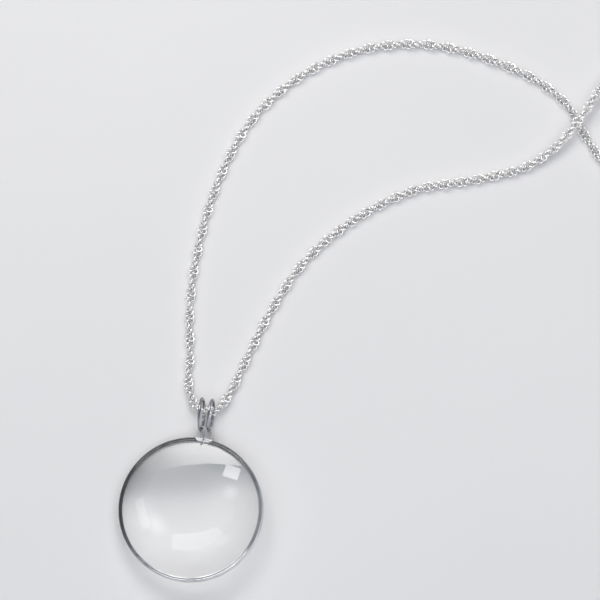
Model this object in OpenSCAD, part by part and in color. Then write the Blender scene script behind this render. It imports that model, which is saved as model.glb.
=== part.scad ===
// Magnifier pendant on a rope chain, lying on a table.
// +Z is up and the table is z = 0. +Y points from the lens towards the middle of the chain.
// The lens rests on its lower bulge and on the lowest edge of its rim, so the pendant leans.

/* [Lens] */
// Radius of the two bulging glass faces
lens_curve = 60; // [52:1:90]
// Thickness of the glass at its edge
lens_edge = 2; // [1.4:0.1:3]

/* [Rim] */
// Outer diameter of the rim
rim_d = 45; // [36:0.5:56]
// Height of the rim along the lens's axis
rim_h = 4; // [3.6:0.1:5.5]
// Width of the rim's face, seen along the lens's axis
rim_face = 1.15; // [0.9:0.05:1.6]
// Depth of the lens groove behind the rim's lips
groove_depth = 0.55; // [0.3:0.05:0.65]
// Height of the fine beads along the rim's edges
bead = 0.15; // [0.08:0.01:0.2]
// Width of the slit where the rim's two ends meet
slit = 0.3; // [0.15:0.05:0.6]

/* [Lugs] */
// Length of the two lugs, outwards from the rim
lug_l = 3.7; // [3:0.1:7]
// Thickness of the lugs
lug_t = 0.9; // [0.6:0.05:1.2]
// Metal left round the hole in each lug
lug_wall = 0.35; // [0.25:0.05:0.8]
// Rounding of the lugs' outer corners
lug_corner = 0.8; // [0.3:0.05:1]
// Fillet between each lug and the rim
lug_foot = 0.6; // [0.2:0.05:1]

/* [Jump rings] */
// Outer diameter of the two jump rings
ring_d = 10.7; // [9:0.1:13]
// Thickness of their wire
wire_d = 0.85; // [0.6:0.05:1.1]
// How far the rings lean to the left from upright, in degrees
ring_lean = 8; // [2:1:12]

/* [Chain] */
// Width over the twisted links
chain_w = 3.2; // [2:0.1:3.8]
// Diameter of the barrel clasp
clasp_d = 5; // [4:0.1:8]
// Length of the barrel clasp
clasp_l = 14; // [10:0.5:20]

/* [Fits] */
// Gap between the glass and its groove
lens_gap = 0.06; // [0.03:0.01:0.12]
// Play of a jump ring in its lug's hole
hole_play = 0.65; // [0.5:0.05:0.9]

/* [Hidden] */
$fn = 64;

// Where the chain hangs in the rings: the point midway between the rings' centres
hang_at = [-113.4, -50.1];
// Directions round the pendant, counted from +X: its lugs, and the edge that touches the table
lug_angle = 80;
low_angle = 125;
// How far each ring turns to the right of +Y, from its lug
ring_turn_left = 3;
ring_turn_right = 7;
// Longest step along the chain between two sections of its tube, and the tube's sides
chain_step = 12;
chain_sides = 8;

// The clasp's middle, and how far its axis is above the chain's, as a share of the chain's width
clasp_at = [138.5, 41];
clasp_lift = (clasp_d / chain_w - 1) / 2;

// The chain's way round, from one end of the clasp to the other. Each point has its x and y,
// and how far the chain is lifted off the table there, as a share of its width.
route = [
    [clasp_at.x, clasp_at.y + clasp_l / 2, clasp_lift],
    [137, 58, 0], [127, 77.5, 0], [101, 96.5, 0], [69, 100, 0],
    [39.5, 88, 0], [19, 65.5, 0.05], [9.5, 52, 0.75], [2, 41, 1.12], [-4, 34, 0.7],
    [-13, 27.5, 0.15], [-27.5, 23.5, 0], [-49.5, 19.5, 0], [-67.5, 10.5, 0], [-82.5, -2, 0],
    [-94, -19, 0], [-101, -33, 0], [-106.5, -44, 0.25], [-108.5, -47, 0.45],
    [-111.5, -49, 0.58], [-114.5, -49, 0.58], [-117, -47, 0.45], [-118.5, -43.5, 0.2],
    [-118.5, -31.5, 0], [-118.5, -16.5, 0], [-116, 1.5, 0], [-109.5, 23, 0], [-98.5, 42.5, 0],
    [-82, 56.5, 0], [-62.5, 64, 0], [-43.5, 65, 0], [-24, 60, 0], [-7, 51.5, 0],
    [-0.5, 45.5, 0], [4, 37.5, 0], [19, 16.5, 0], [39.5, -6, 0], [69, -18, 0],
    [101, -14.5, 0], [127, 4.5, 0], [137, 24, 0],
    [clasp_at.x, clasp_at.y - clasp_l / 2, clasp_lift]
];

// Lens and rim, in the pendant's own frame with the lens's axis along Z
rim_r = rim_d / 2;
lip_r = rim_r - rim_face;
groove_r = lip_r + groove_depth;
lens_r = groove_r - lens_gap;
function bulge(r) = lens_curve - sqrt(pow(lens_curve, 2) - pow(r, 2));
lens_half = lens_edge / 2 + bulge(lens_r);
groove_half = lens_half - bulge(lip_r) + lens_gap;
bead_r = rim_face / 4;

// The lean at which the lower bulge and the rim's lowest bead both touch the table
reach_out = rim_r - bead_r;
reach_down = lens_curve - lens_half + rim_h / 2 - bead_r;
lean = atan2(reach_out, reach_down)
    - acos((lens_curve - bead_r) / norm([reach_out, reach_down]));
lean_axis = [-sin(low_angle), cos(low_angle), 0];
function leaned(p) = p * cos(lean) + cross(lean_axis, p) * sin(lean)
    + lean_axis * (lean_axis * p) * (1 - cos(lean));
pendant_z = lens_curve - (lens_curve - lens_half) * cos(lean);

// Lugs: side is 1 for the left one and -1 for the right one
hole_d = wire_d + hole_play;
lug_w = hole_d + 2 * lug_wall;
lug_z = rim_h / 2 - bead - lug_t / 2;
hole_r = rim_r + lug_l - lug_wall - hole_d / 2;
function hole_in_pendant(side) =
    [cos(lug_angle), sin(lug_angle), 0] * hole_r
    + [-sin(lug_angle), cos(lug_angle), 0] * side * (slit + lug_w) / 2
    + [0, 0, lug_z];

// Jump rings: each stands on the table and threads its lug's hole
wire_r = wire_d / 2;
ring_r = ring_d / 2 - wire_r;
ring_z = ring_r * cos(ring_lean) + wire_r;
function ring_turn(side) = side > 0 ? ring_turn_left : ring_turn_right;
function ring_from_hole(side) =
    let (turn = ring_turn(side),
         drop = ring_z - pendant_z - leaned(hole_in_pendant(side)).z,
         angle = asin(drop / (ring_r * cos(ring_lean))),
         ahead = [sin(turn), cos(turn)],
         aside = [-cos(turn), sin(turn)] * sin(ring_lean))
    (ahead * cos(angle) + aside * sin(angle)) * ring_r;
function flat(p) = [p.x, p.y];
function ring_from_pendant(side) = flat(leaned(hole_in_pendant(side))) + ring_from_hole(side);
pendant_at = hang_at - (ring_from_pendant(1) + ring_from_pendant(-1)) / 2;

// Chain: a smooth curve through the route's points, never lower than the table allows
knots = [for (p = route) [p.x, p.y, chain_w * (0.5 + p.z)]];
last = len(knots) - 1;
clasp_dir = (knots[0] - knots[last]) / norm(knots[0] - knots[last]);
function span(i) = norm(knots[i + 1] - knots[i]);
function way(i) = (knots[i + 1] - knots[i]) / span(i);
function slope(i) = i == 0 || i == last ? clasp_dir
    : (way(i) * span(i - 1) + way(i - 1) * span(i)) / (span(i) + span(i - 1));
function point_on(i, t) =
    let (p = knots[i] * (1 - 3 * t * t + 2 * t * t * t) + knots[i + 1] * (3 * t * t - 2 * t * t * t)
         + (slope(i) * (t - 2 * t * t + t * t * t) + slope(i + 1) * (t * t * t - t * t)) * span(i))
    [p.x, p.y, max(p.z, chain_w / 2)];
function heading_on(i, t) =
    let (h = (knots[i + 1] - knots[i]) * 6 * (t - t * t) / span(i)
         + slope(i) * (1 - 4 * t + 3 * t * t) + slope(i + 1) * (3 * t * t - 2 * t))
    h / norm(h);
stations = [
    for (i = [0:last - 1])
        let (steps = ceil(span(i) / chain_step))
        for (k = [0:steps - 1]) [i, k / steps],
    [last - 1, 1]
];

// One section of the chain's tube, with a flat side down
function section(i, t) =
    let (ahead = heading_on(i, t),
         across = cross([0, 0, 1], ahead) / norm(cross([0, 0, 1], ahead)),
         up = cross(ahead, across),
         r = chain_w / 2 / cos(180 / chain_sides))
    [for (k = [0:chain_sides - 1])
        let (a = (k + 0.5) * 360 / chain_sides)
        point_on(i, t) + r * (cos(a) * across + sin(a) * up)];
tube_points = [for (s = stations) for (p = section(s[0], s[1])) p];
function corner(j, k) = j * chain_sides + k % chain_sides;
tube_faces = [
    [for (k = [0:chain_sides - 1]) corner(0, k)],
    [for (k = [chain_sides - 1:-1:0]) corner(len(stations) - 1, k)],
    for (j = [0:len(stations) - 2]) for (k = [0:chain_sides - 1])
        [corner(j, k), corner(j + 1, k), corner(j + 1, k + 1)],
    for (j = [0:len(stations) - 2]) for (k = [0:chain_sides - 1])
        [corner(j, k), corner(j + 1, k + 1), corner(j, k + 1)]
];

// Puts a piece of the pendant where it lies
module on_table() {
    translate([pendant_at.x, pendant_at.y, pendant_z]) rotate(a = lean, v = lean_axis) children();
}

// Half of the rim's section: a band with two beads along its edge and a lip over the glass
module rim_section_half() {
    valley = rim_h / 2 - bead;
    difference() {
        union() {
            translate([lip_r, 0]) square([rim_face - bead, valley]);
            translate([lip_r, 0]) square([rim_face, valley - 2 * bead_r]);
            for (r = [rim_r - bead_r, lip_r + bead_r]) {
                translate([r, rim_h / 2 - bead_r]) circle(r = bead_r);
            }
            translate([lip_r, groove_half]) square([bead, rim_h / 2 - bead_r - groove_half]);
        }
        translate([lip_r - rim_face, -rim_h]) square([rim_face + groove_depth, groove_half + rim_h]);
        // Shallow channel round the outside of the band
        translate([rim_r - bead, -rim_h]) square([rim_face, rim_h * 1.5 - 2 * bead_r]);
    }
}

module rim_band() {
    rotate_extrude() {
        rim_section_half();
        mirror([0, 1]) rim_section_half();
    }
}

// One lug, lying along +X from the rim with its straight edge on the slit's side
module lug() {
    foot_r = (groove_r + rim_r - bead) / 2;
    tip_r = rim_r + lug_l;
    translate([0, 0, lug_z - lug_t / 2]) linear_extrude(lug_t) {
        difference() {
            union() {
                translate([foot_r, 0]) square([tip_r - lug_corner - foot_r, lug_w + slit / 2]);
                translate([foot_r, 0]) square([tip_r - foot_r, lug_w + slit / 2 - lug_corner]);
                translate([tip_r - lug_corner, lug_w + slit / 2 - lug_corner]) circle(r = lug_corner);
                translate([foot_r, lug_w + slit / 2 - lug_foot]) difference() {
                    square([rim_r - foot_r + lug_foot, 2 * lug_foot]);
                    translate([rim_r - foot_r + lug_foot, 2 * lug_foot]) circle(r = lug_foot);
                }
            }
            translate([hole_r, (slit + lug_w) / 2]) circle(d = hole_d);
        }
    }
}

module rim() {
    color([0.62, 0.62, 0.64]) on_table() rotate([0, 0, lug_angle]) difference() {
        union() {
            rim_band();
            lug();
            mirror([0, 1, 0]) lug();
        }
        translate([lip_r - rim_face, -slit / 2, -rim_h]) cube([2 * rim_face + lug_l, slit, 2 * rim_h]);
    }
}

module lens() {
    rise = lens_curve - lens_half;
    color([0.82, 0.9, 0.94, 0.5]) on_table() rotate_extrude($fn = 128) intersection() {
        translate([0, rise]) circle(r = lens_curve, $fn = 720);
        translate([0, -rise]) circle(r = lens_curve, $fn = 720);
        translate([0, -lens_half]) square([lens_r, 2 * lens_half]);
    }
}

module jump_ring(side) {
    at = pendant_at + ring_from_pendant(side);
    color([0.55, 0.56, 0.58]) translate([at.x, at.y, ring_z])
        rotate([0, 0, -ring_turn(side)]) rotate([0, 90 - ring_lean, 0])
            rotate_extrude() translate([ring_r, 0]) circle(d = wire_d);
}

module jump_ring_left() {
    jump_ring(1);
}

module jump_ring_right() {
    jump_ring(-1);
}

module chain() {
    color([0.8, 0.8, 0.82]) polyhedron(points = tube_points, faces = tube_faces);
}

// A plain barrel between the chain's ends, with rounded shoulders and a seam round its middle
module clasp() {
    shoulder = clasp_d / 6;
    seam = 0.3;
    color([0.76, 0.76, 0.78]) translate([clasp_at.x, clasp_at.y, clasp_d / 2])
        rotate([90, 0, 0]) rotate_extrude() difference() {
            union() {
                translate([0, -clasp_l / 2]) square([clasp_d / 2 - shoulder, clasp_l]);
                translate([0, shoulder - clasp_l / 2]) square([clasp_d / 2, clasp_l - 2 * shoulder]);
                for (y = [-1, 1]) {
                    translate([clasp_d / 2 - shoulder, y * (clasp_l / 2 - shoulder)])
                        circle(r = shoulder);
                }
            }
            translate([clasp_d / 2, 0]) circle(d = seam);
        }
}

rim();
lens();
jump_ring_left();
jump_ring_right();
chain();
clasp();
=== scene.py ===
import math

import bpy
import numpy as np
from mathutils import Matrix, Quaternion, Vector


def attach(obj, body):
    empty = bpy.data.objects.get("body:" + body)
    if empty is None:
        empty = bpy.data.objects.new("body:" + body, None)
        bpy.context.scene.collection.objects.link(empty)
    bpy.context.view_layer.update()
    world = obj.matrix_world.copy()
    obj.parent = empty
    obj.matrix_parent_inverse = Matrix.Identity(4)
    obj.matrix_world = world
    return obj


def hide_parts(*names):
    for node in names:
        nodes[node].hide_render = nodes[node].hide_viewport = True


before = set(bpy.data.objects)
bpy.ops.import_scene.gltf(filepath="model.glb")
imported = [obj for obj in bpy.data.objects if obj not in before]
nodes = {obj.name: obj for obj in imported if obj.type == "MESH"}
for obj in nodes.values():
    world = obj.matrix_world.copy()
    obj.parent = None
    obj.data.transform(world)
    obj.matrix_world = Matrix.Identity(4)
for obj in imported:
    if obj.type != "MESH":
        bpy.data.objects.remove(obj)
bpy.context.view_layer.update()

lensMiddle = (-0.118, -0.0795, 0.0052)  # where the rim's painted shade and the glass's share count from


# Shared by the materials, the lamps and the room
def colourRamp(tree, value, stops):
    ramp = tree.nodes.new("ShaderNodeValToRGB")
    elements = ramp.color_ramp.elements
    for end, (position, colour) in zip((elements[0], elements[1]), (stops[0], stops[-1])):
        end.position, end.color = position, (*colour, 1)
    for position, colour in stops[1:-1]:
        elements.new(position).color = (*colour, 1)
    tree.links.new(value, ramp.inputs["Fac"])
    return ramp.outputs["Color"]


def mapRange(tree, value, source, result):
    shade = tree.nodes.new("ShaderNodeMapRange")
    shade.inputs["From Min"].default_value, shade.inputs["From Max"].default_value = source
    shade.inputs["To Min"].default_value, shade.inputs["To Max"].default_value = result
    tree.links.new(value, shade.inputs["Value"])
    return shade.outputs["Result"]


def vectorMath(tree, operation, vector, constant):
    step = tree.nodes.new("ShaderNodeVectorMath")
    step.operation = operation
    step.inputs[1].default_value = constant
    tree.links.new(vector, step.inputs[0])
    return step


def grey(value):
    return (value, value, value)


def newMaterial(name):
    material = bpy.data.materials.new(name)
    material.use_nodes = True
    tree = material.node_tree
    return material, tree, tree.nodes["Principled BSDF"]


mottleDetail = 3


def mottle(tree, scale, spread, colours):
    coords = tree.nodes.new("ShaderNodeTexCoord")
    noise = tree.nodes.new("ShaderNodeTexNoise")
    noise.inputs["Scale"].default_value = scale
    noise.inputs["Detail"].default_value = mottleDetail
    tree.links.new(coords.outputs["Object"], noise.inputs["Vector"])
    return colourRamp(tree, noise.outputs["Fac"], list(zip(spread, colours)))


def fromLensMiddle(tree, heading):
    coords = tree.nodes.new("ShaderNodeTexCoord")
    offset = vectorMath(tree, "SUBTRACT", coords.outputs["Object"], lensMiddle)
    return vectorMath(tree, "DOT_PRODUCT", offset.outputs["Vector"], heading).outputs["Value"]


# sockets of a mix of colours: both colours, and the outcome
mixFirst, mixSecond, mixOutcome = 6, 7, 2


def multiplyColour(tree, colour, shade):
    mix = tree.nodes.new("ShaderNodeMix")
    mix.data_type = "RGBA"
    mix.blend_type = "MULTIPLY"
    mix.inputs[0].default_value = 1
    tree.links.new(colour.links[0].from_socket, mix.inputs[mixFirst])
    tree.links.new(shade, mix.inputs[mixSecond])
    tree.links.new(mix.outputs[mixOutcome], colour)


# Plated metals: a faint mottle in the colour, and a finer one from smooth to rough
metalSpread = (0.35, 0.65)
wearSpread = (0.4, 0.7)
wearFineness = 2.3  # against the colour's mottle
grainStrength = 0.5


def platedMetal(name, spec):
    material, tree, shader = newMaterial(name)
    shader.inputs["Metallic"].default_value = 1
    tint = mottle(tree, spec["mottle"], metalSpread, (spec["dark"], spec["light"]))
    tree.links.new(tint, shader.inputs["Base Color"])
    wear = mottle(tree, spec["mottle"] * wearFineness, wearSpread,
                  (grey(spec["smooth"]), grey(spec["rough"])))
    tree.links.new(wear, shader.inputs["Roughness"])
    return material


def meshObject(name, points, faces, material, smooth=True):
    mesh = bpy.data.meshes.new(name)
    mesh.from_pydata([tuple(p) for p in points], [], [tuple(int(i) for i in f) for f in faces])
    mesh.polygons.foreach_set("use_smooth", [smooth] * len(mesh.polygons))
    mesh.update()
    piece = bpy.data.objects.new(name, mesh)
    bpy.context.scene.collection.objects.link(piece)
    mesh.materials.append(material)
    return piece


# Chain: twisted rope chain of round wire links
chain = {
    # in metres: x, y and the lift as a share of the chain's width
    "route": [
        (0.1385, 0.048, 0.28125), (0.137, 0.058, 0), (0.127, 0.0775, 0), (0.101, 0.0965, 0),
        (0.069, 0.0999, 0), (0.0395, 0.088, 0), (0.019, 0.0655, 0.05), (0.0095, 0.052, 0.75),
        (0.002, 0.041, 1.12), (-0.004, 0.034, 0.7), (-0.013, 0.0275, 0.15), (-0.0275, 0.0235, 0),
        (-0.0495, 0.0195, 0), (-0.0675, 0.0105, 0), (-0.0825, -0.002, 0), (-0.094, -0.019, 0),
        (-0.101, -0.033, 0), (-0.1065, -0.044, 0.25), (-0.1085, -0.047, 0.45),
        (-0.1115, -0.049, 0.58), (-0.1145, -0.049, 0.58), (-0.117, -0.047, 0.45),
        (-0.1185, -0.0435, 0.2), (-0.1185, -0.0315, 0), (-0.1185, -0.0165, 0), (-0.116, 0.0015, 0),
        (-0.1095, 0.023, 0), (-0.0985, 0.0425, 0), (-0.082, 0.0565, 0), (-0.0625, 0.064, 0),
        (-0.0435, 0.065, 0), (-0.024, 0.06, 0), (-0.007, 0.0515, 0), (-0.0005, 0.0455, 0),
        (0.004, 0.0375, 0), (0.019, 0.0165, 0), (0.0395, -0.006, 0), (0.069, -0.018, 0),
        (0.101, -0.0145, 0), (0.127, 0.0045, 0), (0.137, 0.024, 0), (0.1385, 0.034, 0.28125),
    ],
    "width": 0.0032,
    "pitch": 0.00064,  # along the chain, from one link to the next
    "linkRadius": 0.00088,
    "offset": 0.00052,  # of a link's centre from the chain's middle
    "tilt": 64,  # of a link, degrees
    "wire": 0.00021,
    "sides": 14,
    "wireSides": 6,
    "intoClasp": 0.0005,
    # along the chain, and the half turns of its twist counted from the photographed bulges
    "halfTurns": [
        (0, -61), (0.264, -11), (0.284, -7), (0.305, -4), (0.332, 0), (0.357, 4),
        (0.371, 6), (0.392, 9), (0.4115, 12), (0.437, 16), (0.456, 19), (0.499, 26),
        (0.525, 30), (0.545, 33), (0.75, 65.5),
    ],
    "dark": (0.94, 0.91, 0.89),
    "light": (1, 0.99, 0.98),
    "mottle": 900,
    "smooth": 0.05,
    "rough": 0.11,
    # painted shade between the links: the colour darkens towards the chain's middle
    "paintedShadeSpan": (0.5, 0.84),  # from the chain's middle outwards, as a share of its half width
    "paintedShade": 0.74,  # of the colour, at the chain's middle
}


def smoothRoute(points, width, lowest, steps=24):
    knots = np.array([(x, y, width * (0.5 + lift)) for x, y, lift in points])
    spans = np.linalg.norm(np.diff(knots, axis=0), axis=1)
    ways = np.diff(knots, axis=0) / spans[:, None]
    slopes = np.empty_like(knots)
    slopes[1:-1] = (ways[1:] * spans[:-1, None] + ways[:-1] * spans[1:, None]) / (
        spans[:-1] + spans[1:])[:, None]
    slopes[0] = slopes[-1] = (knots[0] - knots[-1]) / np.linalg.norm(knots[0] - knots[-1])
    line = []
    for i, span in enumerate(spans):
        for t in np.arange(steps) / steps:
            line.append(knots[i] * (1 - 3 * t * t + 2 * t ** 3)
                        + knots[i + 1] * (3 * t * t - 2 * t ** 3)
                        + (slopes[i] * (t - 2 * t * t + t ** 3)
                           + slopes[i + 1] * (t ** 3 - t * t)) * span)
    line.append(knots[-1])
    line = np.array(line)
    line[:, 2] = np.maximum(line[:, 2], lowest)
    return line


def buildLinks(spec, material):
    reach = spec["offset"] + spec["linkRadius"] + spec["wire"]
    line = smoothRoute(spec["route"], spec["width"], reach)
    run = np.concatenate([[0], np.cumsum(np.linalg.norm(np.diff(line, axis=0), axis=1))])
    count = int((run[-1] - 2 * spec["intoClasp"]) / spec["pitch"]) + 1
    margin = (run[-1] - (count - 1) * spec["pitch"]) / 2
    at = margin + np.arange(count) * spec["pitch"]

    def along(s):
        return np.stack([np.interp(s, run, line[:, axis]) for axis in range(3)], 1)

    step = 0.0004  # either way, to tell where the chain heads
    ahead = along(at + step) - along(at - step)
    ahead /= np.linalg.norm(ahead, axis=1)[:, None]
    across = np.cross([0, 0, 1], ahead)
    across /= np.linalg.norm(across, axis=1)[:, None]
    up = np.cross(ahead, across)

    marks = np.array(spec["halfTurns"])
    turn = -(np.arange(count) + np.interp(at, marks[:, 0], marks[:, 1])) * math.pi
    outward = np.cos(turn)[:, None] * across + np.sin(turn)[:, None] * up
    sideways = -np.sin(turn)[:, None] * across + np.cos(turn)[:, None] * up
    tilt = math.radians(spec["tilt"])
    normal = math.cos(tilt) * ahead - math.sin(tilt) * sideways
    second = np.cross(normal, outward)
    centre = along(at) + outward * spec["offset"]

    sides, wireSides = spec["sides"], spec["wireSides"]
    linkAngle = np.arange(sides) * 2 * math.pi / sides
    wireAngle = (np.arange(wireSides) + 0.5) * 2 * math.pi / wireSides
    spoke = (np.cos(linkAngle)[None, :, None] * outward[:, None, :]
             + np.sin(linkAngle)[None, :, None] * second[:, None, :])
    radius = spec["linkRadius"] + spec["wire"] * np.cos(wireAngle)
    rise = spec["wire"] * np.sin(wireAngle)
    points = (centre[:, None, None, :] + spoke[:, :, None, :] * radius[None, None, :, None]
              + normal[:, None, None, :] * rise[None, None, :, None])
    i, j = np.meshgrid(np.arange(sides), np.arange(wireSides), indexing="ij")
    nextSide, nextWire = (i + 1) % sides, (j + 1) % wireSides
    link = np.stack([i * wireSides + j, nextSide * wireSides + j,
                     nextSide * wireSides + nextWire, i * wireSides + nextWire],
                    -1).reshape(-1, 4)
    faces = (link[None] + np.arange(count)[:, None, None] * sides * wireSides).reshape(-1, 4)
    piece = meshObject("chain_links", points.reshape(-1, 3), faces, material)
    # how far each point lies from the chain's middle, so the metal's colour can carry painted shade
    # between links
    away = points - along(at)[:, None, None, :]
    away -= (away * ahead[:, None, None, :]).sum(-1, keepdims=True) * ahead[:, None, None, :]
    depth = piece.data.attributes.new("fromMiddle", "FLOAT", "POINT")
    depth.data.foreach_set("value", (np.linalg.norm(away, axis=-1) / reach).ravel())
    print("chain links:", count, "triangles:", 2 * len(faces), "lowest:", points[..., 2].min())
    return piece


def chainSilver(spec):
    material = platedMetal("chainSilver", spec)
    tree = material.node_tree
    depth = tree.nodes.new("ShaderNodeAttribute")
    depth.attribute_name = "fromMiddle"
    # painted shade: a darker colour towards the chain's middle, between the links
    shade = mapRange(tree, depth.outputs["Fac"], spec["paintedShadeSpan"], (spec["paintedShade"], 1))
    multiplyColour(tree, tree.nodes["Principled BSDF"].inputs["Base Color"], shade)
    return material


links = buildLinks(chain, chainSilver(chain))
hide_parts("chain")
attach(links, "root")


# Rim: fine grain and painted shade that deepens towards the upper left. Its lugs are paler and
# satin.
rim = {
    "dark": (0.5, 0.5, 0.51),
    "light": (0.63, 0.63, 0.64),
    "mottle": 250,
    "smooth": 0.12,
    "rough": 0.2,
    "grain": 1800,
    "grainDepth": 0.00001,
    "paintedDarkSideHeading": (0.57, -0.82, 0),  # away from the side with painted shade
    "paintedDarkSideSpan": (-0.008, 0.013),  # along the heading, from the lens's middle
    "paintedDarkSide": 0.28,  # of the colour, where it is darkest
    "lugsMiddle": (-0.1138, -0.0556, 0.0055),
    "lugsReach": 0.0034,
    "lugsColour": (0.76, 0.75, 0.75),
    "lugsRough": 0.4,
}


def rimSilver(spec):
    material = platedMetal("rimSilver", spec)
    tree = material.node_tree
    shader = tree.nodes["Principled BSDF"]
    coords = tree.nodes.new("ShaderNodeTexCoord")
    grain = tree.nodes.new("ShaderNodeTexNoise")
    grain.inputs["Scale"].default_value = spec["grain"]
    tree.links.new(coords.outputs["Object"], grain.inputs["Vector"])
    bump = tree.nodes.new("ShaderNodeBump")
    bump.inputs["Distance"].default_value = spec["grainDepth"]
    bump.inputs["Strength"].default_value = grainStrength
    tree.links.new(grain.outputs["Fac"], bump.inputs["Height"])
    tree.links.new(bump.outputs["Normal"], shader.inputs["Normal"])

    # painted shade: the colour darkens towards the upper left
    shade = mapRange(tree, fromLensMiddle(tree, spec["paintedDarkSideHeading"]), spec["paintedDarkSideSpan"],
                     (spec["paintedDarkSide"], 1))
    multiplyColour(tree, shader.inputs["Base Color"], shade)

    away = vectorMath(tree, "DISTANCE", coords.outputs["Object"], spec["lugsMiddle"])
    onLugs = tree.nodes.new("ShaderNodeMath")
    onLugs.operation = "LESS_THAN"
    onLugs.inputs[1].default_value = spec["lugsReach"]
    tree.links.new(away.outputs["Value"], onLugs.inputs[0])
    for name, value in (("Base Color", spec["lugsColour"]), ("Roughness", grey(spec["lugsRough"]))):
        mix = tree.nodes.new("ShaderNodeMix")
        mix.data_type = "RGBA"
        tree.links.new(onLugs.outputs["Value"], mix.inputs[0])
        tree.links.new(shader.inputs[name].links[0].from_socket, mix.inputs[mixFirst])
        mix.inputs[mixSecond].default_value = (*value, 1)
        tree.links.new(mix.outputs[mixOutcome], shader.inputs[name])
    return material


nodes["rim"].data.materials[0] = rimSilver(rim)


# Lens: clear glass. Lamps reach what lies under it, but its steep far edge bends their light away.
lens = {
    "ior": 1.52,
    "tints": ((0.975, 0.985, 0.985), (0.99, 0.995, 1)),
    "tintSpread": (0.3, 0.7),
    "mottle": 60,
    "heading": (-0.22, 0.9755, 0),  # from the near edge to the far one
    "reach": 0.022,
    # place along the heading, and the share of the lamps' light that passes there
    "passing": [
        (0.1, 0.8), (0.3, 0.87), (0.56, 0.91), (0.68, 0.82), (0.8, 0.02), (0.87, 0.1), (0.96, 1),
    ],
}


def lensGlass(spec):
    material, tree, shader = newMaterial("lensClear")
    shader.inputs["Transmission Weight"].default_value = 1
    shader.inputs["IOR"].default_value = spec["ior"]
    shader.inputs["Roughness"].default_value = 0
    tint = mottle(tree, spec["mottle"], spec["tintSpread"], spec["tints"])
    tree.links.new(tint, shader.inputs["Base Color"])
    place = mapRange(tree, fromLensMiddle(tree, spec["heading"]),
                     (-spec["reach"], spec["reach"]), (0, 1))
    share = colourRamp(tree, place, [(at, grey(value)) for at, value in spec["passing"]])
    passing = tree.nodes.new("ShaderNodeBsdfTransparent")
    tree.links.new(share, passing.inputs["Color"])
    path = tree.nodes.new("ShaderNodeLightPath")
    mix = tree.nodes.new("ShaderNodeMixShader")
    tree.links.new(path.outputs["Is Shadow Ray"], mix.inputs[0])
    tree.links.new(shader.outputs["BSDF"], mix.inputs[1])
    tree.links.new(passing.outputs["BSDF"], mix.inputs[2])
    tree.links.new(mix.outputs["Shader"], tree.nodes["Material Output"].inputs["Surface"])
    return material


nodes["lens"].data.materials[0] = lensGlass(lens)


# Jump rings: dark polished steel
jumpRings = {
    "dark": (0.22, 0.22, 0.24),
    "light": (0.34, 0.34, 0.36),
    "mottle": 300,
    "smooth": 0.04,
    "rough": 0.08,
}
ringSteel = platedMetal("ringSteel", jumpRings)
nodes["jump_ring_left"].data.materials[0] = ringSteel
nodes["jump_ring_right"].data.materials[0] = ringSteel

# Clasp: a softer shine than the chain's
clasp = {
    "dark": (0.8, 0.8, 0.8),
    "light": (0.9, 0.9, 0.91),
    "mottle": 300,
    "smooth": 0.16,
    "rough": 0.26,
}
nodes["clasp"].data.materials[0] = platedMetal("claspSilver", clasp)
print("materials:", [material.name for material in bpy.data.materials])

# Floor: a wide pale sheet with a faint mottle
table = {
    "half": 3,
    "tints": ((0.79, 0.773, 0.765), (0.815, 0.797, 0.788)),
    "tintSpread": (0.3, 0.7),
    "mottle": 6,
    "rough": 0.7,
    "specular": 0.2,
}


def paleFloor(spec):
    material, tree, shader = newMaterial("paleFloor")
    tint = mottle(tree, spec["mottle"], spec["tintSpread"], spec["tints"])
    tree.links.new(tint, shader.inputs["Base Color"])
    shader.inputs["Roughness"].default_value = spec["rough"]
    shader.inputs["Specular IOR Level"].default_value = spec["specular"]
    return material


half = table["half"]
corners = [(-half, -half, 0), (half, -half, 0), (half, half, 0), (-half, half, 0)]
floor = meshObject("floor", corners, [(0, 1, 2, 3)], paleFloor(table), smooth=False)
print("floor:", 2 * half, "m wide")

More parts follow.
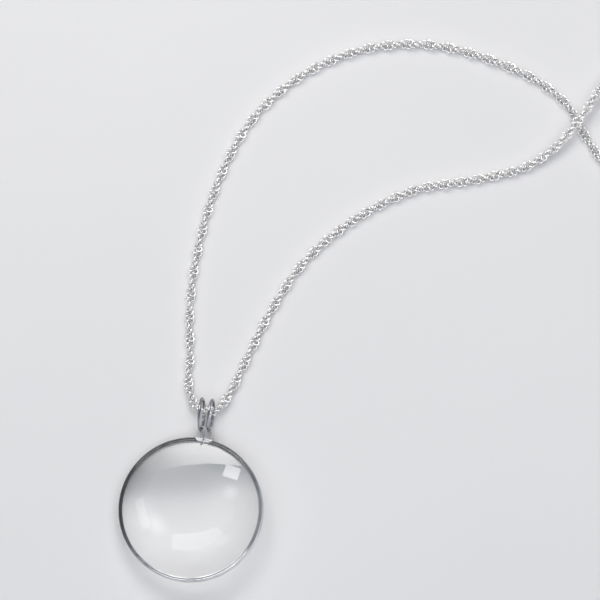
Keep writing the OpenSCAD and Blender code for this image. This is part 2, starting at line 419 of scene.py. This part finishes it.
# Lamps. Each serves the table, the shine on a surface or the light inside the glass. The window is
# made three times: for the metals, for the lens's surface, where it fades to the left, and for the
# inside of the glass. Lamps in one plane would hide each other, so they differ by 1 cm.
glazing = {"facing": (0, -1, 0), "tint": (1, 0.985, 0.96)}
lamps = {
    "softBox": {
        "at": (-0.17, 0.64, 0.95), "facing": (0.09, -0.65, -0.95), "size": (0.8, 0.5),
        "radiance": 5.15, "tint": (1, 0.98, 0.94), "serves": ("table",)},
    "overhead": {
        "at": (-0.2, 0.05, 1.6), "facing": (0, 0, -1), "size": (2.4, 2.4),
        "radiance": 1.53, "tint": (0.872, 0.922, 1), "serves": ("table",)},
    "windowLight": {
        **glazing, "at": (-0.56, 0.78, 0.62), "size": (1.28, 0.62),
        "radiance": 4.6, "serves": ("shine",), "lights": "allButTheLens"},
    "windowOnGlass": {
        **glazing, "at": (-0.35, 0.79, 0.62), "size": (1.7, 0.62), "spread": 113,
        "radiance": 6.5, "tint": (1, 0.985, 0.97), "serves": ("shine",), "lights": "lensOnly",
        "fadeSpan": (0.28, 0.7), "fade": (1.38, 0.42)},
    "windowInsideGlass": {
        **glazing, "at": (-0.56, 0.77, 0.62), "size": (1.28, 0.62),
        "radiance": 1.8, "serves": ("insideGlass",)},
    "glowLowerLeft": {
        "at": (0.384, 0.436, 0.74), "facing": (-0.503, -0.496, -0.708), "size": (0.8, 0.8),
        "spread": 36, "radiance": 0.085, "tint": (1, 0.99, 0.97), "serves": ("insideGlass",)},
    "glowRight": {
        "at": (0.11, 0.391, 0.971), "facing": (-0.203, -0.427, -0.881), "size": (0.3, 0.3),
        "spread": 12, "radiance": 0.0115, "tint": (0.97, 0.98, 1), "serves": ("shine",),
        "lights": "lensOnly"},
    "skylight": {
        "at": (0.116, 0.585, 0.84), "facing": (-0.234, -0.665, -0.84), "size": (0.17, 0.15),
        "radiance": 8, "tint": (0.97, 0.98, 1), "serves": ("shine",)},
    "sideLight": {
        "at": (-0.835, 0.118, 0.76), "facing": (0.717, -0.198, -0.76), "size": (0.34, 0.1),
        "roll": 35, "radiance": 1.4, "tint": (1, 0.99, 0.97), "serves": ("table", "shine")},
    "paleWall": {
        "at": (0.75, -1, 0.4), "facing": (-0.85, 1, -0.35), "size": (1.8, 0.75),
        "radiance": 0.8, "tint": (1, 0.99, 0.98), "serves": ("shine",)},
}


def addLamp(name, spec, groups):
    width, height = spec["size"]
    light = bpy.data.lights.new(name, "AREA")
    light.shape = "RECTANGLE"
    light.size, light.size_y = width, height
    light.energy = spec["radiance"] * math.pi * width * height
    light.color = spec["tint"]
    light.spread = math.radians(spec.get("spread", 180))
    lamp = bpy.data.objects.new(name, light)
    lamp.location = spec["at"]
    lamp.rotation_mode = "QUATERNION"
    roll = Quaternion((0, 0, 1), math.radians(spec.get("roll", 0)))
    lamp.rotation_quaternion = Vector(spec["facing"]).to_track_quat("-Z", "Y") @ roll
    lamp.visible_diffuse = "table" in spec["serves"]
    lamp.visible_glossy = "shine" in spec["serves"]
    lamp.visible_transmission = "insideGlass" in spec["serves"]
    bpy.context.scene.collection.objects.link(lamp)
    if "lights" in spec:
        lamp.light_linking.receiver_collection = groups[spec["lights"]]
    if "fade" in spec:
        light.use_nodes = True
        tree = light.node_tree
        surface = tree.nodes.new("ShaderNodeNewGeometry")
        split = tree.nodes.new("ShaderNodeSeparateXYZ")
        tree.links.new(surface.outputs["Parametric"], split.inputs[0])
        strength = mapRange(tree, split.outputs["X"], spec["fadeSpan"], spec["fade"])
        tree.links.new(strength, tree.nodes["Emission"].inputs["Strength"])


metals = [nodes[name] for name in ("rim", "jump_ring_left", "jump_ring_right", "clasp")]
groups = {}
for name, things in (("allButTheLens", [*metals, links, floor]), ("lensOnly", [nodes["lens"]])):
    groups[name] = bpy.data.collections.new(name)
    for thing in things:
        groups[name].objects.link(thing)
for name, spec in lamps.items():
    addLamp(name, spec, groups)
print("lamps:", len(lamps))

# Room: seen in the metals and the glass, dark overhead and a little paler at the lower right
room = {
    "heights": [(0.72, (0.785, 0.83, 0.9)), (0.9, (0.12, 0.125, 0.14))],
    "paleSide": (0.64, -0.77, 0),
    "sideSpan": (-0.6, 0.5),
    "strength": (0.94, 1.12),
}

world = bpy.data.worlds.new("room")
bpy.context.scene.world = world
world.use_nodes = True
world.cycles_visibility.diffuse = False
tree = world.node_tree
heading = tree.nodes.new("ShaderNodeTexCoord").outputs["Generated"]
split = tree.nodes.new("ShaderNodeSeparateXYZ")
tree.links.new(heading, split.inputs[0])
background = tree.nodes["Background"]
tree.links.new(colourRamp(tree, split.outputs["Z"], room["heights"]), background.inputs["Color"])
side = vectorMath(tree, "DOT_PRODUCT", heading, room["paleSide"]).outputs["Value"]
tree.links.new(mapRange(tree, side, room["sideSpan"], room["strength"]),
               background.inputs["Strength"])
bpy.context.scene.view_settings.view_transform = "Standard"
print("room strength:", room["strength"])

# Camera: straight above with a long lens
view = {
    "middle": (-0.0842, -0.0144, 0.003),  # what the photograph's centre looks at
    "width": 0.1866,  # of the table, across the picture
    "distance": 2.0,
    "sensor": 36,
    "farthest": 20,
}
lensData = bpy.data.cameras.new("camera")
lensData.sensor_width = view["sensor"]
lensData.lens = view["sensor"] * view["distance"] / view["width"]
lensData.clip_end = view["farthest"]
camera = bpy.data.objects.new("camera", lensData)
camera.location = Vector(view["middle"]) + Vector((0, 0, view["distance"]))
bpy.context.scene.collection.objects.link(camera)
bpy.context.scene.camera = camera
print("camera lens:", round(lensData.lens, 1), "mm")
